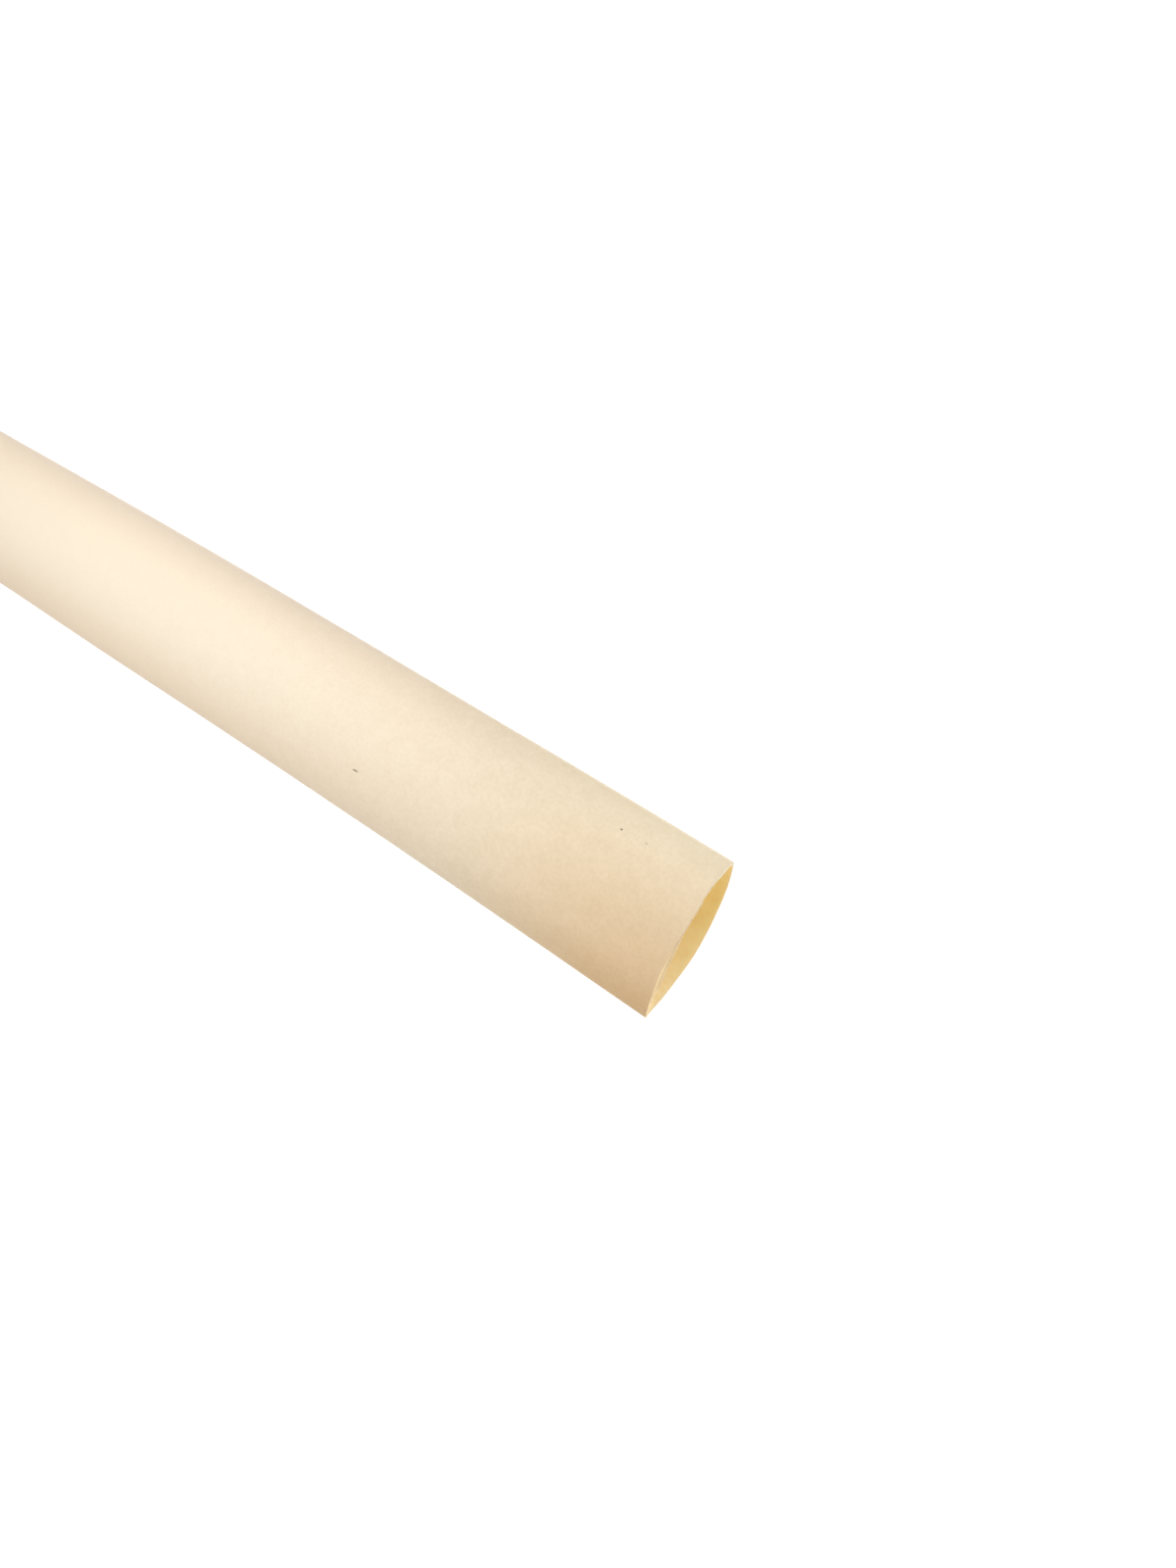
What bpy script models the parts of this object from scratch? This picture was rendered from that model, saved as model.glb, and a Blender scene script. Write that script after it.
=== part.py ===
# Heat shrink tube: one cut length of thin-walled shrinkable sleeving.
# It is extruded round, pressed flat for its spool and then opened again by hand, so two soft
# creases run down its sides and its section is a lens, a little flatter at the two cut ends.
# Metres, +Z up. +X runs along the tube to its mouth, and the tube lies on z = 0.

import math

import bmesh
import bpy

# Driving dimensions
BORE = 0.0127                # inside diameter as supplied, with the tube opened to a circle
WALL = 0.0004                # wall as supplied, before it shrinks
LENGTH = 0.1524              # cut length
CREASE_RADIUS = 0.0010       # outside radius of the two side creases
UPPER_RISE = 0.0040          # top of the tube above the line of its creases, halfway along
LOWER_DROP = 0.0054          # bottom of the tube below that line, halfway along
END_UPPER_RISE = 0.0038      # the same rise at the two cut ends
END_LOWER_DROP = 0.0049      # the same drop at the two cut ends
END_REACH = 0.0240           # how far the flatter ends reach into the tube
BOW = 0.0008                 # how far the spool's curl bows the tube sideways at its middle

# Mesh fineness
WALL_FACETS = 17             # across each wall; odd, so that one facet lies flat underneath
CREASE_FACETS = 6            # round each crease
STATIONS = 24                # stretches along the tube, shorter towards its ends
SMOOTH_ANGLE = math.radians(40)

# Sizes that follow
GIRTH = math.pi * (BORE + WALL)
CREASE_MIDDLE = CREASE_RADIUS - WALL / 2
SOLVER_STEPS = 60


def wall_arc(rise, span):
    """Radius and half angle of a wall that bows by rise and runs smoothly into both creases."""
    radius = (span ** 2 + rise ** 2 - CREASE_MIDDLE ** 2) / (2 * (rise - CREASE_MIDDLE))
    return radius, math.atan2(span, radius - rise)


def girth_of(upper, lower, span):
    """Way round the middle of the wall, for creases that lie span to each side."""
    upper_radius, upper_angle = wall_arc(upper, span)
    lower_radius, lower_angle = wall_arc(lower, span)
    creases = 2 * CREASE_MIDDLE * (math.pi - upper_angle - lower_angle)
    return 2 * upper_radius * upper_angle + 2 * lower_radius * lower_angle + creases


def crease_span(upper, lower):
    """How far to each side the creases lie, so that the wall keeps its girth."""
    near, far = CREASE_MIDDLE, GIRTH / 2
    for _ in range(SOLVER_STEPS):
        span = (near + far) / 2
        if girth_of(upper, lower, span) < GIRTH:
            near = span
        else:
            far = span
    return near


def arc_points(centre, radius, start, stop, facets):
    """Points (y, z) on an arc, without its last one; angles run from +Z towards +Y."""
    points = []
    for step in range(facets):
        angle = start + (stop - start) * step / facets
        points.append((centre[0] + radius * math.sin(angle), centre[1] + radius * math.cos(angle)))
    return points


def skin(upper_rise, lower_drop, offset):
    """One skin of the section, offset from the middle of the wall, around its crease line."""
    upper = upper_rise - WALL / 2
    lower = lower_drop - WALL / 2
    span = crease_span(upper, lower)
    upper_radius, upper_angle = wall_arc(upper, span)
    lower_radius, lower_angle = wall_arc(lower, span)
    right_end = math.pi - lower_angle
    left_start = math.pi + lower_angle
    left_end = 2 * math.pi - upper_angle
    crease = CREASE_MIDDLE + offset
    top = (0.0, upper - upper_radius)
    bottom = (0.0, lower_radius - lower)
    points = arc_points(top, upper_radius + offset, -upper_angle, upper_angle, WALL_FACETS)
    points += arc_points((span, 0.0), crease, upper_angle, right_end, CREASE_FACETS)
    points += arc_points(bottom, lower_radius + offset, right_end, left_start, WALL_FACETS)
    points += arc_points((-span, 0.0), crease, left_start, left_end, CREASE_FACETS)
    return points


def end_share(x):
    """1 at a cut end, falling smoothly to 0 along the tube."""
    inward = LENGTH / 2 - abs(x)
    return math.exp(-(inward / END_REACH) ** 2)


def station(x):
    """Outer and inner skin of the tube at x, set down on z = 0 and moved out by the bow."""
    share = end_share(x)
    rise = UPPER_RISE + (END_UPPER_RISE - UPPER_RISE) * share
    drop = LOWER_DROP + (END_LOWER_DROP - LOWER_DROP) * share
    outer = skin(rise, drop, WALL / 2)
    inner = skin(rise, drop, -WALL / 2)
    lift = -min(z for _, z in outer)
    side = BOW * (1 - (2 * x / LENGTH) ** 2)
    return [[(x, y + side, z + lift) for y, z in points] for points in (outer, inner)]


def all_stations():
    """The skins at every station, shifted so that the tube is centred on y = 0."""
    places = [-LENGTH / 2 * math.cos(math.pi * step / STATIONS) for step in range(STATIONS + 1)]
    stations = [station(x) for x in places]
    sides = [y for outer, _ in stations for _, y, _ in outer]
    middle = (min(sides) + max(sides)) / 2
    return [[[(x, y - middle, z) for x, y, z in points] for points in rings] for rings in stations]


def add_ring(bm, points):
    """The points of one skin at one station, as vertices in order."""
    return [bm.verts.new(point) for point in points]


def add_band(bm, first, second):
    """The band of faces between two rings that have their points in the same order."""
    for i in range(len(first)):
        bm.faces.new((first[i - 1], first[i], second[i], second[i - 1]))


def tube_mesh():
    """Both skins lofted through the stations and joined by a square cut at each end."""
    bm = bmesh.new()
    rings = [[add_ring(bm, points) for points in pair] for pair in all_stations()]
    for (outer, inner), (next_outer, next_inner) in zip(rings, rings[1:]):
        add_band(bm, outer, next_outer)
        add_band(bm, inner, next_inner)
    for outer, inner in (rings[0], rings[-1]):
        add_band(bm, outer, inner)
    bmesh.ops.recalc_face_normals(bm, faces=bm.faces)
    mesh = bpy.data.meshes.new("heat_shrink_tube")
    bm.to_mesh(mesh)
    bm.free()
    mesh.shade_smooth()
    mesh.set_sharp_from_angle(angle=SMOOTH_ANGLE)
    return mesh


def cream_polyolefin():
    """Undyed ivory polyolefin, matt as it leaves the die."""
    material = bpy.data.materials.new("cream_polyolefin")
    material.use_nodes = True
    shader = material.node_tree.nodes["Principled BSDF"]
    shader.inputs["Base Color"].default_value = (0.86, 0.76, 0.58, 1.0)
    shader.inputs["Roughness"].default_value = 0.55
    shader.inputs["Metallic"].default_value = 0.0
    return material


def clear_scene():
    for item in list(bpy.data.objects):
        bpy.data.objects.remove(item, do_unlink=True)


def main():
    clear_scene()
    tube = bpy.data.objects.new("heat_shrink_tube", tube_mesh())
    tube.data.materials.append(cream_polyolefin())
    bpy.context.scene.collection.objects.link(tube)


main()
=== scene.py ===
# %% [markdown]
# A length of heat shrink tube, lying on a white table with its open mouth towards us.
#
# Heat shrink tube is extruded round, pressed flat so that it can be wound on a spool, and
# opened again by whoever cuts it. That history is its whole shape: two soft creases down its
# sides, a lens section between them, and a cut mouth that never quite closes or rounds.
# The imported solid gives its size. This script makes the same sleeve fine enough to look at.

import math

import bpy
from mathutils import Matrix, Vector


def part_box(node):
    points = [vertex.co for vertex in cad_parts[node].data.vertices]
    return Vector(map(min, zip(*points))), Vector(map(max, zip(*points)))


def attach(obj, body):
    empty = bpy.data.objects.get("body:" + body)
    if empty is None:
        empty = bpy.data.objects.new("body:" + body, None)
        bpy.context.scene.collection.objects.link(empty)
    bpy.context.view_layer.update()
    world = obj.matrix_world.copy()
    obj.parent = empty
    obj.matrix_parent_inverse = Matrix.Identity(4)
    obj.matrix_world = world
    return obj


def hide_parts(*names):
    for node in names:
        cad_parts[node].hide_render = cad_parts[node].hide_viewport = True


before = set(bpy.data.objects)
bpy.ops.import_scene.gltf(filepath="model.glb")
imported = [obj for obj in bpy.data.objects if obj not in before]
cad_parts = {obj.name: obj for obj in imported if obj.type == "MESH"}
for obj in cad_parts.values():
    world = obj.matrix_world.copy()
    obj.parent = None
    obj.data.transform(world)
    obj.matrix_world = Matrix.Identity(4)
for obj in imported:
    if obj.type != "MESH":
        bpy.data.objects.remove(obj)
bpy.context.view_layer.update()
SOLID = "heat_shrink_tube"
MM = 0.001
low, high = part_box(SOLID)
LENGTH = high.x - low.x
print("solid, mm:", [round(side / MM, 2) for side in high - low])

# %% [markdown]
# The camera comes first, because everything else is judged through it. The photograph was
# taken from close by, about seven tube widths away, so the tube narrows strongly as it runs
# off, which no choice of lens alone can show. The place, the aim and the roll below are those
# that make the sleeve's two edges and the two rims of its mouth fall where they do.

# %% Camera at the photograph's place
LENS = 28.0                                      # mm
SENSOR = 36.0                                    # mm, along the picture's long side
CAMERA_PLACE = Vector((104.12, 18.24, 124.93)) * MM
CAMERA_AIM = Vector((58.44, 8.17, 5.0)) * MM
CAMERA_ROLL = math.radians(-72.86)               # the camera was held turned


def place_camera():
    camera = bpy.data.objects.new("camera", bpy.data.cameras.new("camera"))
    camera.data.lens = LENS
    camera.data.sensor_fit = "VERTICAL"
    camera.data.sensor_height = SENSOR
    camera.data.clip_start = MM
    level = (CAMERA_AIM - CAMERA_PLACE).to_track_quat("-Z", "Y").to_matrix()
    turned = level @ Matrix.Rotation(CAMERA_ROLL, 3, "Z")
    camera.matrix_world = Matrix.Translation(CAMERA_PLACE) @ turned.to_4x4()
    bpy.context.scene.collection.objects.link(camera)
    bpy.context.scene.camera = camera
    return camera


camera = place_camera()
distance = (CAMERA_AIM - CAMERA_PLACE).length
print("lens, mm:", camera.data.lens, "distance, mm:", round(distance / MM, 1))

# %% [markdown]
# The section. A wall that was creased at both edges and then pushed open bows as an arc of a
# circle, and each crease is a small arc between the two walls. The wall doesn't stretch, so
# however far it is opened, the way round stays that of the round tube. One unknown is left,
# how far apart the creases lie, and halving an interval finds it.

# %% How far apart the creases lie
BORE = 12.7 * MM
WALL = 0.4 * MM
CREASE_RADIUS = 1.0 * MM
MID_RISE, MID_DROP = 4.0 * MM, 5.4 * MM          # above and below the line of the creases
CUT_RISE, CUT_DROP = 3.8 * MM, 4.9 * MM          # the same at the two cut ends
CREASE_MIDDLE = CREASE_RADIUS - WALL / 2
GIRTH = math.pi * (BORE + WALL)
HALVINGS = 60                                    # leaves no error that a float can hold


def wall_arc(rise, span):
    """Radius and half angle of a wall that bows by rise between creases span to each side."""
    radius = (span ** 2 + rise ** 2 - CREASE_MIDDLE ** 2) / (2 * (rise - CREASE_MIDDLE))
    return radius, math.atan2(span, radius - rise)


def crease_span(rise, drop):
    """How far to each side the creases lie, so that the wall keeps its girth."""
    near, far = CREASE_MIDDLE, GIRTH / 2
    for _ in range(HALVINGS):
        span = (near + far) / 2
        (r1, a1), (r2, a2) = wall_arc(rise, span), wall_arc(drop, span)
        girth = 2 * r1 * a1 + 2 * r2 * a2 + 2 * CREASE_MIDDLE * (math.pi - a1 - a2)
        near, far = (span, far) if girth < GIRTH else (near, span)
    return near


print("girth, mm:", round(GIRTH / MM, 2))

# %% [markdown]
# The outline is four arcs that run into each other without a corner: upper wall, crease, lower
# wall, crease. The arcs above are those of the wall's middle, and the outer skin lies half a
# wall outside them. The steps are short, so that the mouth looks round from close by.

# %% Outline of the opened sleeve
WALL_STEPS = 92
CREASE_STEPS = 14


def arc(y, z, radius, start, stop, steps):
    """Points (y, z) of an arc without its last one; angles run from straight up towards +Y."""
    turns = [start + (stop - start) * step / steps for step in range(steps)]
    return [(y + radius * math.sin(turn), z + radius * math.cos(turn)) for turn in turns]


def outer_section(rise, drop):
    """Outline of the sleeve's outer skin, standing on z = 0."""
    rise, drop = rise - WALL / 2, drop - WALL / 2
    span = crease_span(rise, drop)
    (r1, a1), (r2, a2) = wall_arc(rise, span), wall_arc(drop, span)
    half, full = math.pi, 2 * math.pi
    lift = drop + WALL / 2
    points = arc(0, lift + rise - r1, r1 + WALL / 2, -a1, a1, WALL_STEPS)
    points += arc(span, lift, CREASE_RADIUS, a1, half - a2, CREASE_STEPS)
    points += arc(0, lift + r2 - drop, r2 + WALL / 2, half - a2, half + a2, WALL_STEPS)
    points += arc(-span, lift, CREASE_RADIUS, half + a2, full - a1, CREASE_STEPS)
    return points


mid_section = outer_section(MID_RISE, MID_DROP)
cut_section = outer_section(CUT_RISE, CUT_DROP)
half_mid = max(y for y, z in mid_section)
half_cut = max(y for y, z in cut_section)
print("width halfway and at the cut, mm:", round(2 * half_mid / MM, 2), round(2 * half_cut / MM, 2))

# %% [markdown]
# The cut. Scissors close over a flat tube in a few bites, and each bite leaves the edge a
# little further in or out than the last, and sometimes slanted through the wall. These are
# fractions of a millimetre, but the light catches them, so two short lists give how far each
# edge of the cut is set back, from one crease to the other, with straight runs between.

# %% Where the scissors left the cut
UPPER_CUT = [                                    # y, set back of the outer and the inner edge, in mm
    (-8.8, 0.00, 0.00),
    (-6.5, 0.10, -0.10),
    (-5.2, 0.12, -0.28),
    (-3.8, 0.20, -0.20),
    (-1.4, 0.08, -0.17),
    (0.5, 0.00, 0.00),
    (4.45, 0.01, 0.01),
    (4.72, 0.19, 0.19),
    (5.0, 0.12, 0.12),
    (6.5, 0.12, 0.12),
    (8.1, 0.00, 0.00),
    (8.8, 0.00, 0.00),
]
LOWER_CUT = [
    (-8.9, 0.15, 0.15),
    (-7.0, 0.08, 0.08),
    (-5.0, 0.04, 0.04),
    (-3.6, -0.04, -0.04),
    (-1.8, -0.11, -0.11),
    (0.3, -0.10, -0.10),
    (3.4, -0.06, -0.06),
    (7.6, -0.06, -0.06),
    (8.8, -0.02, -0.02),
]


def set_back(y, upper, edge):
    """How far edge 1, the outer one, or 2, the inner one, lies inside the square end at y."""
    rows = UPPER_CUT if upper else LOWER_CUT
    y = min(max(y / MM, rows[0][0]), rows[-1][0])
    for before, after in zip(rows, rows[1:]):
        if y <= after[0]:
            share = (y - before[0]) / (after[0] - before[0])
            return (before[edge] + (after[edge] - before[edge]) * share) * MM


print("deepest bite, mm:", max(row[1] for row in UPPER_CUT + LOWER_CUT))

# %% [markdown]
# The ring. One closed ring of edges stands for the section, and each of its points carries
# attributes: its place halfway along, its place at a cut, and its two set backs. Geometry
# Nodes keeps a profile's attributes when it sweeps it, so every point of the skin knows them.

# %% The section as a ring that carries its own numbers
def section_ring():
    count = len(mid_section)
    mesh = bpy.data.meshes.new("section")
    mesh.from_pydata([(y, z, 0.0) for y, z in mid_section],
                     [(i, (i + 1) % count) for i in range(count)], [])
    for name, outline in (("mid_section", mid_section), ("cut_section", cut_section)):
        layer = mesh.attributes.new(name, "FLOAT_VECTOR", "POINT")
        layer.data.foreach_set("vector", [value for y, z in outline for value in (0.0, y, z)])
    for edge, name in ((1, "outer_set_back"), (2, "inner_set_back")):
        layer = mesh.attributes.new(name, "FLOAT", "POINT")
        layer.data.foreach_set("value", [set_back(y, z > CUT_DROP, edge) for y, z in cut_section])
    ring = bpy.data.objects.new("section", mesh)
    bpy.context.scene.collection.objects.link(ring)
    return ring


ring = section_ring()
print("section points:", len(ring.data.vertices))

# %% [markdown]
# The sweep. The real sleeve leaves a die and is drawn off in a line, so the section is swept
# along a line here too, in a Geometry Nodes tree. A modelled tube with a loop cut for each
# station would look the same, but would have to be redone for every change of size. Here each
# size is a named input, and one small helper adds every node.

# %% The tree and its inputs
def add_node(tree, kind, inputs=(), **settings):
    """Adds a node, sets its properties, and fills its inputs with values, sockets or nodes."""
    node = tree.nodes.new(kind)
    for name, value in settings.items():
        setattr(node, name, value)
    for key, value in dict(inputs).items():
        if isinstance(value, bpy.types.Node):
            value = next(socket for socket in value.outputs if socket.enabled)
        if isinstance(value, bpy.types.NodeSocket):
            tree.links.new(value, node.inputs[key])
        else:
            node.inputs[key].default_value = value
    return node


SWEEP_INPUTS = [
    ("Length", "Float", LENGTH),
    ("Stations", "Int", 200),
    ("Cut Reach", "Float", 24.0 * MM),           # how far the flatter ends reach in
    ("Bow", "Float", 0.8 * MM),                  # sideways, left by the spool
    ("Bow Centre", "Float", (half_mid + 0.8 * MM - half_cut) / 2),
    ("Squeeze", "Float", 0.038),                 # share of the width, where it narrows a little
    ("Unevenness", "Float", -0.05 * MM),         # its sign swaps hills and hollows
    ("Unevenness Size", "Float", 9.0 * MM),
    ("Wall", "Float", WALL),
    ("Cut Roughness", "Float", 0.06 * MM),
    ("Seed", "Float", 3.0),
    ("Outside", "Material", None),
    ("Inside", "Material", None),
    ("Cut Face", "Material", None),
]
sweep = bpy.data.node_groups.new("sweep_the_sleeve", "GeometryNodeTree")
for way in ("INPUT", "OUTPUT"):
    sweep.interface.new_socket("Geometry", in_out=way, socket_type="NodeSocketGeometry")
for label, kind, value in SWEEP_INPUTS:
    socket = sweep.interface.new_socket(label, in_out="INPUT", socket_type="NodeSocket" + kind)
    if value is not None:
        socket.default_value = value
given = add_node(sweep, "NodeGroupInput").outputs
print("inputs of the sweep:", [label for label, kind, value in SWEEP_INPUTS])

# %% [markdown]
# The line has its stations closer together near both ends, where the shape changes most, and
# stores how far along each one is. The sine of evenly spaced angles gives just that spacing.

# %% Sweep the section along the line
half = add_node(sweep, "ShaderNodeMath", {0: given["Length"], 1: 0.5}, operation="MULTIPLY")
line = add_node(sweep, "GeometryNodeCurvePrimitiveLine", {"Start": (-1, 0, 0), "End": (1, 0, 0)})
path = add_node(sweep, "GeometryNodeResampleCurve", {"Curve": line, "Count": given["Stations"]})
place = add_node(sweep, "ShaderNodeSeparateXYZ", {0: add_node(sweep, "GeometryNodeInputPosition")})
turn = add_node(sweep, "ShaderNodeMath", {0: place.outputs["X"], 1: math.pi / 2}, operation="MULTIPLY")
sine = add_node(sweep, "ShaderNodeMath", {0: turn}, operation="SINE")
path = add_node(sweep, "GeometryNodeStoreNamedAttribute", {
    "Geometry": path,
    "Name": "along",
    "Value": add_node(sweep, "ShaderNodeMath", {0: sine, 1: half}, operation="MULTIPLY"),
}, data_type="FLOAT", domain="POINT")
profile = add_node(sweep, "GeometryNodeMeshToCurve", {"Mesh": given["Geometry"]})
swept = add_node(sweep, "GeometryNodeCurveToMesh", {"Curve": path, "Profile Curve": profile})
print("nodes so far:", len(sweep.nodes))

# %% [markdown]
# A Set Position node puts each point where the rules say. The section goes from the middle's
# to the cut's over the last two or three centimetres, by a bell curve, because a wall this
# soft has no sharp bend along it. The bow is a parabola. The far half is squeezed a little,
# mostly from its -Y side.

# %% Between the two sections, out along the bow
SQUEEZE_START, SQUEEZE_END = -2.0 * MM, -36.0 * MM
SIDE_BLEND = 2.0 * MM                            # between the squeezed side and the other
OTHER_SIDE = 0.35                                # share of the squeeze on the +Y side
FADE = math.exp(-1)                              # raised to a power that grows, fades from 1 to 0
along = add_node(sweep, "GeometryNodeInputNamedAttribute", {"Name": "along"}, data_type="FLOAT")
from_middle = add_node(sweep, "ShaderNodeMath", {0: along}, operation="ABSOLUTE")
inward = add_node(sweep, "ShaderNodeMath", {0: half, 1: from_middle}, operation="SUBTRACT")
reach = add_node(sweep, "ShaderNodeMath", {0: inward, 1: given["Cut Reach"]}, operation="DIVIDE")
reach = add_node(sweep, "ShaderNodeMath", {0: reach, 1: 2.0}, operation="POWER")
share = add_node(sweep, "ShaderNodeMath", {0: FADE, 1: reach}, operation="POWER")
section = add_node(sweep, "ShaderNodeMix", {
    "Factor": share,
    4: add_node(sweep, "GeometryNodeInputNamedAttribute", {"Name": "mid_section"},
                data_type="FLOAT_VECTOR"),
    5: add_node(sweep, "GeometryNodeInputNamedAttribute", {"Name": "cut_section"},
                data_type="FLOAT_VECTOR"),
}, data_type="VECTOR")
across = add_node(sweep, "ShaderNodeSeparateXYZ", {0: section})
squeeze = add_node(sweep, "ShaderNodeMapRange", {
    "Value": along,
    "From Min": SQUEEZE_START,
    "From Max": SQUEEZE_END,
    "To Max": given["Squeeze"],
}, interpolation_type="SMOOTHSTEP")
one_side = add_node(sweep, "ShaderNodeMapRange", {
    "Value": across.outputs["Y"],
    "From Min": -SIDE_BLEND,
    "From Max": SIDE_BLEND,
    "To Min": 1.0,
    "To Max": OTHER_SIDE,
}, interpolation_type="SMOOTHSTEP")
squeeze = add_node(sweep, "ShaderNodeMath", {0: squeeze, 1: one_side}, operation="MULTIPLY")
kept = add_node(sweep, "ShaderNodeMath", {0: 1.0, 1: squeeze}, operation="SUBTRACT")
narrow = add_node(sweep, "ShaderNodeMath", {0: across.outputs["Y"], 1: kept}, operation="MULTIPLY")
unit = add_node(sweep, "ShaderNodeMath", {0: along, 1: half}, operation="DIVIDE")
unit = add_node(sweep, "ShaderNodeMath", {0: unit, 1: unit}, operation="MULTIPLY")
curl = add_node(sweep, "ShaderNodeMath", {0: 1.0, 1: unit}, operation="SUBTRACT")
bowed = add_node(sweep, "ShaderNodeMath", {0: curl, 1: given["Bow"], 2: narrow},
                 operation="MULTIPLY_ADD")
target = add_node(sweep, "ShaderNodeCombineXYZ", {
    "X": along,
    "Y": add_node(sweep, "ShaderNodeMath", {0: bowed, 1: given["Bow Centre"]}, operation="SUBTRACT"),
    "Z": across.outputs["Z"],
})
shaped = add_node(sweep, "GeometryNodeSetPosition", {"Geometry": swept, "Position": target})
print("nodes so far:", len(sweep.nodes))

# %% [markdown]
# A soft wall is never quite true. Low waves of a few hundredths of a millimetre, far too slight
# to measure, are enough to break up the light along the skin. They fade out towards the
# table, so that the sleeve still lies flat on it.

# %% The slight unevenness of a soft wall
NOISE_MIDDLE = 0.5                               # a noise texture swings about this value
LIES_FLAT = 2.0 * MM                             # the waves reach full height above this
fineness = add_node(sweep, "ShaderNodeMath", {0: 1.0, 1: given["Unevenness Size"]},
                    operation="DIVIDE")
wander = add_node(sweep, "ShaderNodeTexNoise", {
    "Vector": add_node(sweep, "GeometryNodeInputPosition"),
    "W": given["Seed"],
    "Scale": fineness,
    "Detail": 1.0,
}, noise_dimensions="4D")
swell = add_node(sweep, "ShaderNodeMath", {0: wander, 1: NOISE_MIDDLE},
                 operation="SUBTRACT")
swell = add_node(sweep, "ShaderNodeMath", {0: swell, 1: given["Unevenness"]}, operation="MULTIPLY")
off_table = add_node(sweep, "ShaderNodeMapRange",
                     {"Value": across.outputs["Z"], "From Min": 0.0, "From Max": LIES_FLAT})
swell = add_node(sweep, "ShaderNodeMath", {0: swell, 1: off_table}, operation="MULTIPLY")
push = add_node(sweep, "ShaderNodeVectorMath",
                {0: add_node(sweep, "GeometryNodeInputNormal"), "Scale": swell}, operation="SCALE")
uneven = add_node(sweep, "GeometryNodeSetPosition", {"Geometry": shaped, "Offset": push})
print("nodes so far:", len(sweep.nodes))

# %% [markdown]
# The wall. Extrude Mesh pushes a copy of the skin inwards by the wall's thickness and gives
# three selections: the copy is its top, and the strips that join it to the skin at both cuts
# are its sides. The skin itself is joined on again, and shared points are merged, so that the
# sleeve is one closed shell.

# %% Give the skin its thickness
WELD = 0.001 * MM                                # points closer than this become one
outwards = add_node(sweep, "GeometryNodeFlipFaces", {"Mesh": uneven})
outside = add_node(sweep, "GeometryNodeSetMaterial",
                   {"Geometry": outwards, "Material": given["Outside"]})
inwards = add_node(sweep, "ShaderNodeMath", {0: given["Wall"], 1: -1.0}, operation="MULTIPLY")
wall = add_node(sweep, "GeometryNodeExtrudeMesh",
                {"Mesh": outside, "Offset Scale": inwards, "Individual": False}, mode="FACES")
both = add_node(sweep, "GeometryNodeJoinGeometry",
                {0: add_node(sweep, "GeometryNodeFlipFaces", {"Mesh": wall})})
sweep.links.new(outside.outputs["Geometry"], both.inputs[0])
welded = add_node(sweep, "GeometryNodeMergeByDistance",
                  {"Geometry": both, "Distance": WELD})
print("nodes so far:", len(sweep.nodes))

# %% [markdown]
# The trim. The points of the last millimetres move along the tube by the set backs that the
# section carries, plus a fine noise for the nibbled look of a scissor cut. The far end, which
# the photograph doesn't show, is cut square and has the noise alone.

# %% Trim the mouth as the scissors did
TRIM_REACH = 2.5 * MM
NIBBLES = 900.0                                  # to a metre, so one in about 1.1 mm
END_SHIFT = 40.0 * MM                            # through the noise, so that the ends differ
near_cut = add_node(sweep, "ShaderNodeMapRange", {
    "Value": inward,
    "From Max": TRIM_REACH,
    "To Min": 1.0,
    "To Max": 0.0,
})
end = add_node(sweep, "ShaderNodeMath", {0: along}, operation="SIGN")
at_mouth = add_node(sweep, "ShaderNodeMath", {0: end, 1: 0.0}, operation="MAXIMUM")
bite = add_node(sweep, "GeometryNodeSwitch", {
    "Switch": wall.outputs["Top"],
    "False": add_node(sweep, "GeometryNodeInputNamedAttribute", {"Name": "outer_set_back"}),
    "True": add_node(sweep, "GeometryNodeInputNamedAttribute", {"Name": "inner_set_back"}),
}, input_type="FLOAT")
bite = add_node(sweep, "ShaderNodeMath", {0: bite, 1: at_mouth}, operation="MULTIPLY")
nibbles = add_node(sweep, "ShaderNodeTexNoise", {
    "Vector": add_node(sweep, "ShaderNodeCombineXYZ", {
        "X": add_node(sweep, "ShaderNodeMath", {0: end, 1: END_SHIFT}, operation="MULTIPLY"),
        "Y": across.outputs["Y"],
        "Z": across.outputs["Z"],
    }),
    "W": given["Seed"],
    "Scale": NIBBLES,
    "Detail": 3.0,
}, noise_dimensions="4D")
inset = add_node(sweep, "ShaderNodeMath", {0: nibbles, 1: given["Cut Roughness"], 2: bite},
                 operation="MULTIPLY_ADD")
inset = add_node(sweep, "ShaderNodeMath", {0: inset, 1: near_cut}, operation="MULTIPLY")
back = add_node(sweep, "ShaderNodeMath", {0: end, 1: -1.0}, operation="MULTIPLY")
trimmed = add_node(sweep, "GeometryNodeSetPosition", {
    "Geometry": welded,
    "Offset": add_node(sweep, "ShaderNodeCombineXYZ", {
        "X": add_node(sweep, "ShaderNodeMath", {0: inset, 1: back}, operation="MULTIPLY"),
    }),
})
print("nodes so far:", len(sweep.nodes))

# %% [markdown]
# The tree ends by making everything real and giving the bore and the cut faces their own
# finishes, because light reaches the three in three different ways.

# %% Close the tree
smooth = add_node(sweep, "GeometryNodeSetShadeSmooth", {"Geometry": trimmed})
done = add_node(sweep, "GeometryNodeRealizeInstances", {"Geometry": smooth})
for label, faces in (("Inside", wall.outputs["Top"]), ("Cut Face", wall.outputs["Side"])):
    done = add_node(sweep, "GeometryNodeSetMaterial",
                    {"Geometry": done, "Selection": faces, "Material": given[label]})
add_node(sweep, "NodeGroupOutput", {0: done})
print("nodes in the sweep:", len(sweep.nodes), "links:", len(sweep.links))

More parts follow.
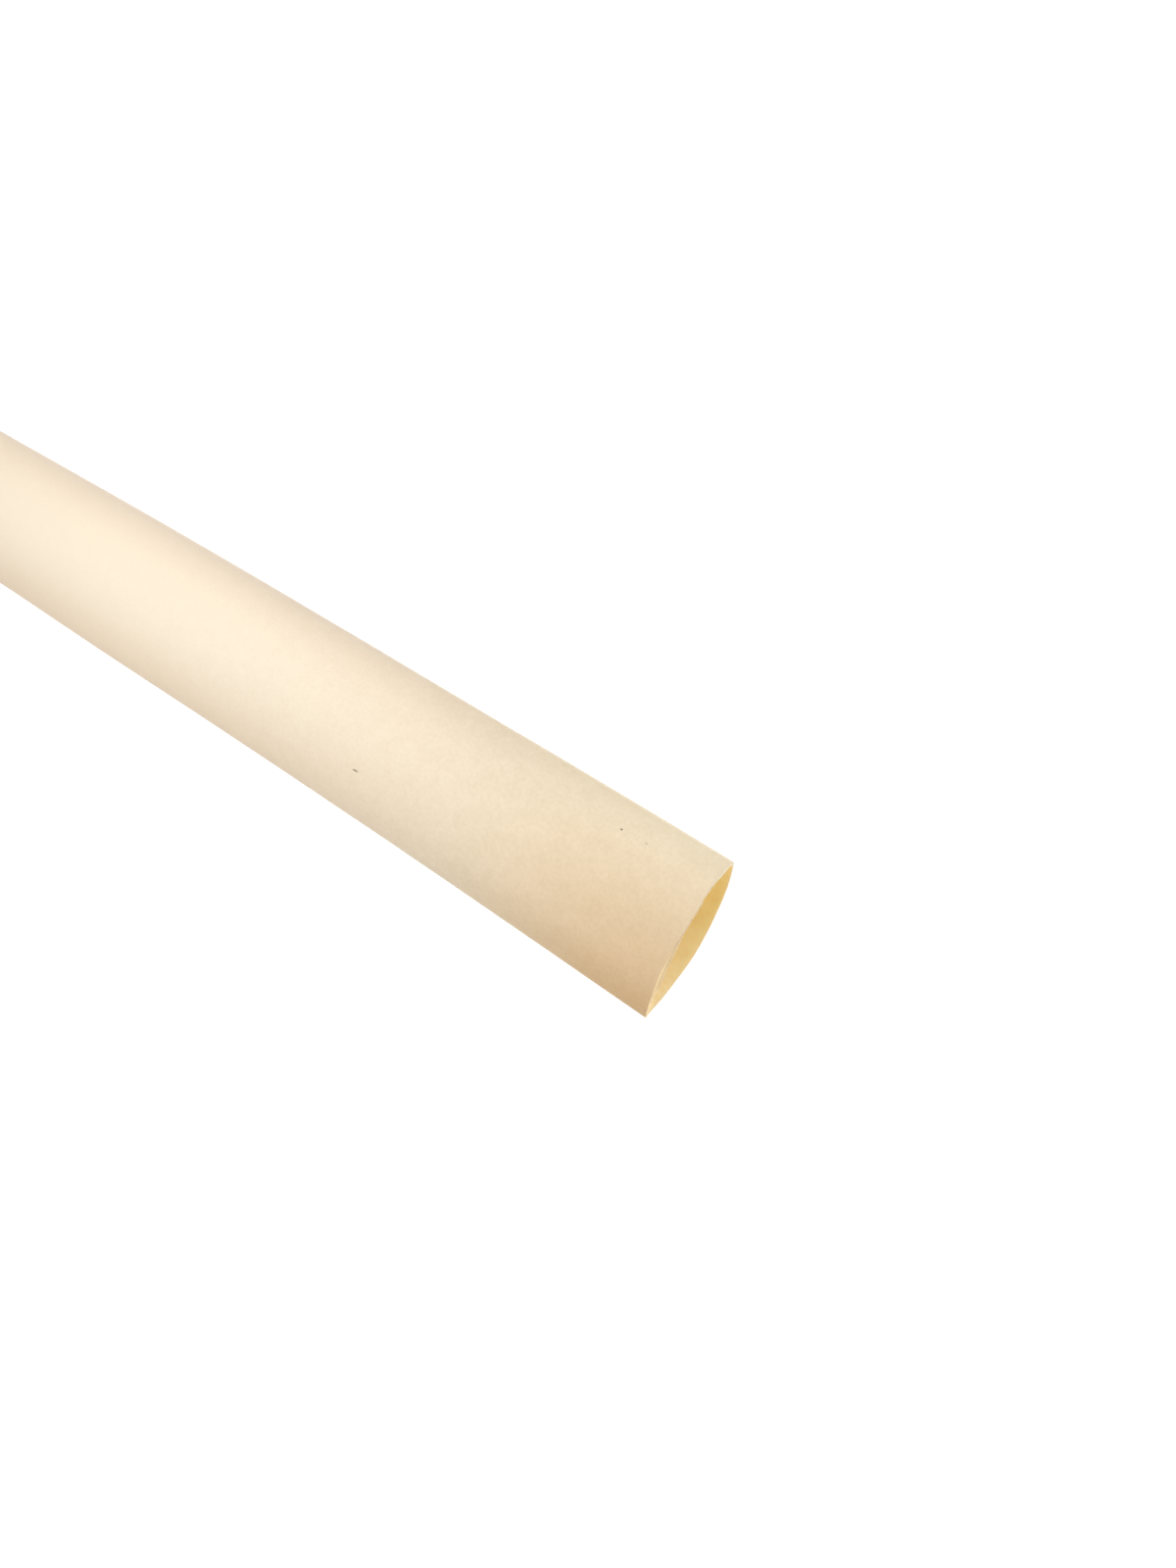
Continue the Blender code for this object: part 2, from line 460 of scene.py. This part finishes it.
# %% [markdown]
# The plastic. Ivory heat shrink tube is cross-linked polyolefin, a soft waxy plastic with a
# little pigment in it. It is extruded, then stretched warm and cooled, and never polished. So
# the skin is matt, with an orange-peel pebble and a cloudy mottle four times as wide. Noise on
# Object coordinates draws both, at sizes in millimetres. Patches of noise could be painted too,
# but only nodes keep their scale when the tube grows.

# %% Colours, a blank finish and patches of noise
POLYOLEFIN_IOR = 1.51
NOISE_LOW, NOISE_HIGH = 0.35, 0.65               # nearly all of a noise's values lie between these
NOISE_ROUGHNESS = 0.55


def colour(code):
    """A hex colour as a screen shows it, turned to the linear values that Blender works with."""
    parts = [int(code[i:i + 2], 16) / 255 for i in (1, 3, 5)]
    return [c / 12.92 if c <= 0.04045 else ((c + 0.055) / 1.055) ** 2.4 for c in parts] + [1.0]


def new_finish(name, roughness, specular):
    """A material with its tree, its shader, and the Object coordinates that patterns lie on."""
    finish = bpy.data.materials.new(name)
    finish.use_nodes = True
    tree = finish.node_tree
    shader = tree.nodes["Principled BSDF"]
    shader.inputs["IOR"].default_value = POLYOLEFIN_IOR
    shader.inputs["Roughness"].default_value = roughness
    shader.inputs["Specular IOR Level"].default_value = specular
    return finish, tree, shader, add_node(tree, "ShaderNodeTexCoord").outputs["Object"]


def patches(tree, place, size, detail):
    """Noise whose patches are size across, stretched to run from 0 to 1."""
    noise = add_node(tree, "ShaderNodeTexNoise", {
        "Vector": place,
        "Scale": 1 / size,
        "Detail": detail,
        "Roughness": NOISE_ROUGHNESS,
    })
    return add_node(tree, "ShaderNodeMapRange",
                    {"Value": noise, "From Min": NOISE_LOW, "From Max": NOISE_HIGH})


def clouded(tree, place, tone, amount, size, detail, faint):
    """A tone, multiplied by patches that run from the faint colour to white."""
    cloud = add_node(tree, "ShaderNodeMix", {
        0: patches(tree, place, size, detail),
        6: colour(faint),
        7: WHITE,
    }, data_type="RGBA")
    return add_node(tree, "ShaderNodeMix", {0: amount, 6: tone, 7: cloud},
                    data_type="RGBA", blend_type="MULTIPLY")


WHITE = colour("#FFFFFF")
print("middle grey in linear values:", [round(c, 3) for c in colour("#808080")])

# %% [markdown]
# The skin's tone isn't the same all over, and its changes are painted light and shade. It is
# palest halfway along and a deeper cream, painted shade, towards the mouth. Painted shade
# deepens it down the creases, where the wall turns away from the light. At the mouth it goes
# from a paler painted light by the +Y crease to a tan painted shade at the -Y side. Ramps along
# X and across Y blend the colours.

# %% The skin's tone, along and across
HALF_WIDTH = 9.0 * MM
PALE = colour("#E7D9C4")                         # far from the mouth
CREAM = colour("#E6D5B9")                        # nearer to it, deeper: painted shade
MOUTH_LIGHT_PALE = colour("#F6E6C7")                   # painted light at the mouth, by the +Y crease
MOUTH_SHADE_TAN = colour("#DDB988")                    # painted shade at the mouth, by the -Y crease
CREASE_SHADE_TAN = colour("#FCF1E3")                   # painted shade, multiplies the colour by the -Y crease
CREASE_SHADE_PALE = colour("#FBF6ED")                  # painted shade, the same by the +Y crease
CREASE_LINE_SHADE = colour("#F6F7FF")                    # painted shade, multiplies it once more at the creases themselves
LINE_POWER = 4.0                                 # higher makes that line thinner
CREAM_START, CREAM_FULL = 10.0 * MM, 60.0 * MM   # along the tube
MOUTH_START = 45.0 * MM
TAN_POWER = 1.3                                  # higher lets the painted tan shade reach further across

skin, tree, shader, place = new_finish("extruded_polyolefin_skin", roughness=0.5, specular=0.6)
at = add_node(tree, "ShaderNodeSeparateXYZ", {0: place}).outputs
nearer = add_node(tree, "ShaderNodeMapRange",
                  {"Value": at["X"], "From Min": CREAM_START, "From Max": CREAM_FULL},
                  interpolation_type="SMOOTHSTEP")
at_mouth = add_node(tree, "ShaderNodeMapRange",
                    {"Value": at["X"], "From Min": MOUTH_START, "From Max": high.x},
                    interpolation_type="SMOOTHSTEP")
across = add_node(tree, "ShaderNodeMapRange",
                  {"Value": at["Y"], "From Min": -HALF_WIDTH, "From Max": HALF_WIDTH})
sideways = add_node(tree, "ShaderNodeMath", {0: at["Y"], 1: HALF_WIDTH}, operation="DIVIDE")
crease_shade_share = add_node(tree, "ShaderNodeMath", {0: sideways, 1: sideways}, operation="MULTIPLY")
further = add_node(tree, "ShaderNodeMath", {0: 1.0, 1: nearer}, operation="SUBTRACT")
# painted shade along the creases themselves
crease_line_shade_share = add_node(tree, "ShaderNodeMath", {0: crease_shade_share, 1: LINE_POWER}, operation="POWER")
# painted shade: the tone deepens towards the mouth
tone = add_node(tree, "ShaderNodeMix", {0: nearer, 6: PALE, 7: CREAM}, data_type="RGBA")
# painted shade down both creases
crease = add_node(tree, "ShaderNodeMix", {0: across, 6: CREASE_SHADE_TAN, 7: CREASE_SHADE_PALE},
                  data_type="RGBA")
for share, shade in ((crease_shade_share, crease), (crease_line_shade_share, CREASE_LINE_SHADE)):
    share = add_node(tree, "ShaderNodeMath", {0: share, 1: further}, operation="MULTIPLY")
    tone = add_node(tree, "ShaderNodeMix", {0: share, 6: tone, 7: shade},
                    data_type="RGBA", blend_type="MULTIPLY")
# painted light and shade at the mouth: paler by the +Y crease, a tan shade by the -Y one
across = add_node(tree, "ShaderNodeMath", {0: across, 1: TAN_POWER}, operation="POWER")
mouth = add_node(tree, "ShaderNodeMix", {0: across, 6: MOUTH_SHADE_TAN, 7: MOUTH_LIGHT_PALE}, data_type="RGBA")
tone = add_node(tree, "ShaderNodeMix", {0: at_mouth, 6: tone, 7: mouth}, data_type="RGBA")
print("skin nodes so far:", len(tree.nodes))

# %% [markdown]
# On that tone lie the mottle, the pebble and three specks of dirt. Soft plastic charges as it
# is handled and picks up dust. Each speck is an oval around a point on the skin: a Mapping
# node moves, turns and scales the coordinates, and the distance from the oval's middle fades
# the brown out. The pebble is also bumped, by about a hundredth of a millimetre.

# %% The skin's mottle, pebble and specks
PEBBLE = 0.4 * MM                                # the real one is finer, too fine to show in the
                                                 # render, and is drawn as coarse as it needs to be
PEBBLE_DEPTH = 0.012 * MM
PEBBLE_STRENGTH = 0.6
MOTTLE = 1.6 * MM
SHOWS_FROM, SHOWS_FULLY = -10.0 * MM, 60.0 * MM  # both show less, the further from the mouth
SHOWS_LEAST = 0.25
SPECK = colour("#5A4423")
SPECK_CORE = 0.5                                 # share of its reach beyond which a speck fades
SKIN_SPECKS = [                                  # x, y, z, half length, half width in mm, turn, cover
    (35.10, -3.27, 8.84, 0.50, 0.10, 5, 0.95),
    (64.95, 6.10, 7.40, 0.16, 0.11, 0, 0.95),
    (67.95, 6.15, 7.30, 0.20, 0.14, 0, 0.22),
]


def add_speck(tree, place, tone, row):
    """A small oval of brown at one place on a skin."""
    x, y, z, half_length, half_width, turn, cover = row
    oval = add_node(tree, "ShaderNodeMapping", {
        "Vector": place,
        "Location": (x * MM, y * MM, z * MM),
        "Rotation": (0.0, 0.0, math.radians(turn)),
        "Scale": (half_length * MM, half_width * MM, MM),
    }, vector_type="TEXTURE")
    reach = add_node(tree, "ShaderNodeVectorMath", {0: oval}, operation="LENGTH")
    inside = add_node(tree, "ShaderNodeMapRange",
                      {"Value": reach, "From Min": SPECK_CORE, "To Min": cover, "To Max": 0.0})
    return add_node(tree, "ShaderNodeMix", {0: inside, 6: tone, 7: SPECK}, data_type="RGBA")


shows = add_node(tree, "ShaderNodeMapRange", {
    "Value": at["X"],
    "From Min": SHOWS_FROM,
    "From Max": SHOWS_FULLY,
    "To Min": SHOWS_LEAST,
})
tone = clouded(tree, place, tone, shows, MOTTLE, detail=1.0, faint="#FCFBF9")
tone = clouded(tree, place, tone, shows, PEBBLE, detail=3.0, faint="#FAF8F5")
for row in SKIN_SPECKS:
    tone = add_speck(tree, place, tone, row)
tree.links.new(tone.outputs[2], shader.inputs["Base Color"])
relief = add_node(tree, "ShaderNodeBump", {
    "Height": patches(tree, place, PEBBLE, detail=3.0),
    "Distance": PEBBLE_DEPTH,
    "Strength": PEBBLE_STRENGTH,
})
tree.links.new(relief.outputs["Normal"], shader.inputs["Normal"])
print("skin nodes:", len(tree.nodes), "specks:", len(SKIN_SPECKS))

# %% [markdown]
# Inside, light comes in through the mouth and through the thin wall itself, and bounces from
# ivory to ivory, which takes out more blue each time. That turns the bore golden. Light could
# be followed through the wall with subsurface scattering, but that takes three times as long
# and looks much the same, so a faint glow stands in for it. It is strongest at the cut and
# fades within a few millimetres.

# %% The bore
GLOW_FADE = 6.0 * MM
GLOW_SHADE = colour("#E8D58A")                   # on the bore's +Y side
GLOW_LIT = colour("#FFF9D3")                     # on its -Y side, which faces the light
GLOW_DEEP = colour("#8E8359")                    # far inside
GLOW_STRENGTH = 0.445
GLOW_SHADE_Y, GLOW_LIT_Y = 4.0 * MM, -8.0 * MM   # where each of the two is full
CLOUD = 1.0 * MM
# painted light: the bore's own colour is painted more golden than the skin's, for the light bounced
# inside it
BORE_DARK, BORE_PALE = colour("#E9CFA0"), colour("#EDD6A9")

bore, tree, shader, place = new_finish("extruded_polyolefin_bore", roughness=0.45, specular=0.5)
mottle = add_node(tree, "ShaderNodeMix", {
    0: patches(tree, place, MOTTLE, detail=2.0),
    6: BORE_DARK,
    7: BORE_PALE,
}, data_type="RGBA")
tree.links.new(mottle.outputs[2], shader.inputs["Base Color"])
at = add_node(tree, "ShaderNodeSeparateXYZ", {0: place}).outputs
lit_side = add_node(tree, "ShaderNodeMapRange",
                    {"Value": at["Y"], "From Min": GLOW_SHADE_Y, "From Max": GLOW_LIT_Y})
lit = add_node(tree, "ShaderNodeMix", {0: lit_side, 6: GLOW_SHADE, 7: GLOW_LIT}, data_type="RGBA")
from_middle = add_node(tree, "ShaderNodeMath", {0: at["X"]}, operation="ABSOLUTE")
depth = add_node(tree, "ShaderNodeMapRange", {
    "Value": from_middle,
    "From Min": high.x,
    "From Max": high.x - GLOW_FADE,
}, clamp=False)
near_cut = add_node(tree, "ShaderNodeMath", {0: FADE, 1: depth}, operation="POWER")
glow = add_node(tree, "ShaderNodeMix", {0: near_cut, 6: GLOW_DEEP, 7: lit}, data_type="RGBA")
glow = clouded(tree, place, glow, 1.0, CLOUD, detail=2.0, faint="#F5F3EC")
glow = clouded(tree, place, glow, 1.0, PEBBLE, detail=2.0, faint="#F8F4E9")
tree.links.new(glow.outputs[2], shader.inputs["Emission Color"])
shader.inputs["Emission Strength"].default_value = GLOW_STRENGTH
print("bore nodes:", len(tree.nodes))

# %% [markdown]
# The blades shear the plastic instead of slicing it clean, which leaves the cut face rougher
# than the skin. A painted glow, painted light for the light it catches, makes it paler than
# the skin. It is only as wide as the wall, and light comes through to it too, least of all to
# the upper lip, which is a tan line with the bore's shade below it. By the +Y crease the glow
# is painted paler still, and there the cut is nearly as pale as the skin.

# %% The cut
TORN = 0.5 * MM
TORN_DARK, TORN_PALE = colour("#F0D9AC"), colour("#F6E2BB")
CUT_LIT = colour("#FFD494")                      # light through the lower lip
CUT_SHADE = colour("#BC9058")                    # through the upper lip
CUT_PALE_GLOW = colour("#FBF0E3")                   # painted light, a paler glow by the +Y crease
CUT_STRENGTH = 0.35
UPPER_START, UPPER_FULL = 3.0 * MM, 5.5 * MM     # height between the lower lip and the upper
LIP_START, LIP_FULL = -4.0 * MM, 0.0             # across the tube, where the shade comes in
PALE_GLOW_START, PALE_GLOW_FULL = 5.5 * MM, 7.5 * MM       # across it, where the paler painted glow comes in

cut, tree, shader, place = new_finish("sheared_polyolefin_cut", roughness=0.65, specular=0.4)
torn = add_node(tree, "ShaderNodeMix", {
    0: patches(tree, place, TORN, detail=2.0),
    6: TORN_DARK,
    7: TORN_PALE,
}, data_type="RGBA")
tree.links.new(torn.outputs[2], shader.inputs["Base Color"])
at = add_node(tree, "ShaderNodeSeparateXYZ", {0: place}).outputs
upper = add_node(tree, "ShaderNodeMapRange",
                 {"Value": at["Z"], "From Min": UPPER_START, "From Max": UPPER_FULL})
lip = add_node(tree, "ShaderNodeMapRange",
               {"Value": at["Y"], "From Min": LIP_START, "From Max": LIP_FULL})
lip = add_node(tree, "ShaderNodeMath", {0: upper, 1: lip}, operation="MULTIPLY")
glow = add_node(tree, "ShaderNodeMix", {0: lip, 6: CUT_LIT, 7: CUT_SHADE}, data_type="RGBA")
# painted light: the cut's glow turns paler by the +Y crease
at_pale_glow = add_node(tree, "ShaderNodeMapRange",
                   {"Value": at["Y"], "From Min": PALE_GLOW_START, "From Max": PALE_GLOW_FULL})
glow = add_node(tree, "ShaderNodeMix", {0: at_pale_glow, 6: glow, 7: CUT_PALE_GLOW}, data_type="RGBA")
tree.links.new(glow.outputs[2], shader.inputs["Emission Color"])
shader.inputs["Emission Strength"].default_value = CUT_STRENGTH
print("cut nodes:", len(tree.nodes))

# %% [markdown]
# The tree runs as a modifier on the ring. Its inputs are set by their identifiers, the result
# is kept as a plain mesh, and the ring with its modifier goes. The mesh then rides on the
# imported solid's one body and replaces that solid wherever the sleeve is looked at.

# %% Build the sleeve
def set_inputs(modifier, values):
    """Sets a modifier's inputs by the identifiers that belong to their names."""
    names = {item.name: item.identifier for item in modifier.node_group.interface.items_tree
             if item.item_type == "SOCKET" and item.in_out == "INPUT"}
    for name, value in values.items():
        modifier[names[name]] = value


def make_sleeve(ring, tree):
    grow = ring.modifiers.new("sweep", "NODES")
    grow.node_group = tree
    set_inputs(grow, {"Outside": skin, "Inside": bore, "Cut Face": cut})
    bpy.context.view_layer.update()
    depsgraph = bpy.context.evaluated_depsgraph_get()
    mesh = bpy.data.meshes.new_from_object(ring.evaluated_get(depsgraph))
    mesh.name = "sleeve"
    sleeve = bpy.data.objects.new("sleeve", mesh)
    bpy.context.scene.collection.objects.link(sleeve)
    bpy.data.objects.remove(ring)
    return sleeve


sleeve = make_sleeve(ring, sweep)
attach(sleeve, "root")
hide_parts(SOLID)
for index, finish in enumerate(sleeve.data.materials):
    count = sum(face.material_index == index for face in sleeve.data.polygons)
    print(finish.name, "faces:", count)

# %% [markdown]
# The table and the light. The photograph is bright and soft, on a white sheet that burns out
# to pure white with no shadow. So the sheet glows as well as reflecting, and its glow is also
# the soft light that lifts the sleeve's lower edges.

# %% Table
TABLE_HALF = 3.0                                 # metres, so that no view reaches its edge
PAPER = colour("#7C7C7C")                        # dim, because the glow alone is a full white
PAPER_GLOW = 1.01


def white_table():
    mesh = bpy.data.meshes.new("table")
    h = TABLE_HALF
    mesh.from_pydata([(-h, -h, 0), (h, -h, 0), (h, h, 0), (-h, h, 0)], [], [(0, 1, 2, 3)])
    table = bpy.data.objects.new("table", mesh)
    bpy.context.scene.collection.objects.link(table)
    paper, _, shader, _ = new_finish("white_paper", roughness=0.9, specular=0.2)
    shader.inputs["Base Color"].default_value = PAPER
    shader.inputs["Emission Color"].default_value = WHITE
    shader.inputs["Emission Strength"].default_value = PAPER_GLOW
    mesh.materials.append(paper)
    return table


table = white_table()
print(table.name, "side, m:", 2 * TABLE_HALF)

# %% [markdown]
# Four soft lamps, each far wider than the sleeve, light it from both sides and from above. The
# sleeve is brightest halfway along its top, and no edge of a shadow shows anywhere. The lamps
# are white: every warm tone in the picture is painted on the plastic, partly as painted light
# and shade.

# %% Lights
LIGHTS = [                                       # name, place and side in mm, W
    ("window", (0, 280, 280), 200, 0.67),
    ("second_window", (-198, 198, 280), 200, 0.37),
    ("room", (0, -280, 280), 200, 0.665),
    ("overhead", (0, 0, 130), 80, 0.093),
]
LIT_POINT = Vector((0, 0, 5)) * MM


def soft_light(name, place, side, power):
    lamp = bpy.data.lights.new(name, "AREA")
    lamp.size = side * MM
    lamp.energy = power
    holder = bpy.data.objects.new(name, lamp)
    holder.location = Vector(place) * MM
    holder.rotation_euler = (LIT_POINT - holder.location).to_track_quat("-Z", "Y").to_euler()
    holder.visible_camera = False
    bpy.context.scene.collection.objects.link(holder)


for row in LIGHTS:
    soft_light(*row)
print("lamps:", len(LIGHTS), "together, W:", round(sum(row[3] for row in LIGHTS), 2))

# %% [markdown]
# Beyond the table there is only white, and for the camera alone, so that it lights nothing.
# The Standard view transform shows each colour as it was mixed, and lets white be white.

# %% Surroundings
def white_surroundings():
    world = bpy.data.worlds.new("surroundings")
    world.use_nodes = True
    world.node_tree.nodes["Background"].inputs["Color"].default_value = WHITE
    world.cycles_visibility.diffuse = False
    world.cycles_visibility.glossy = False
    bpy.context.scene.world = world
    bpy.context.scene.view_settings.view_transform = "Standard"
    return world


surroundings = white_surroundings()
print("surroundings:", surroundings.name, "view:", bpy.context.scene.view_settings.view_transform)
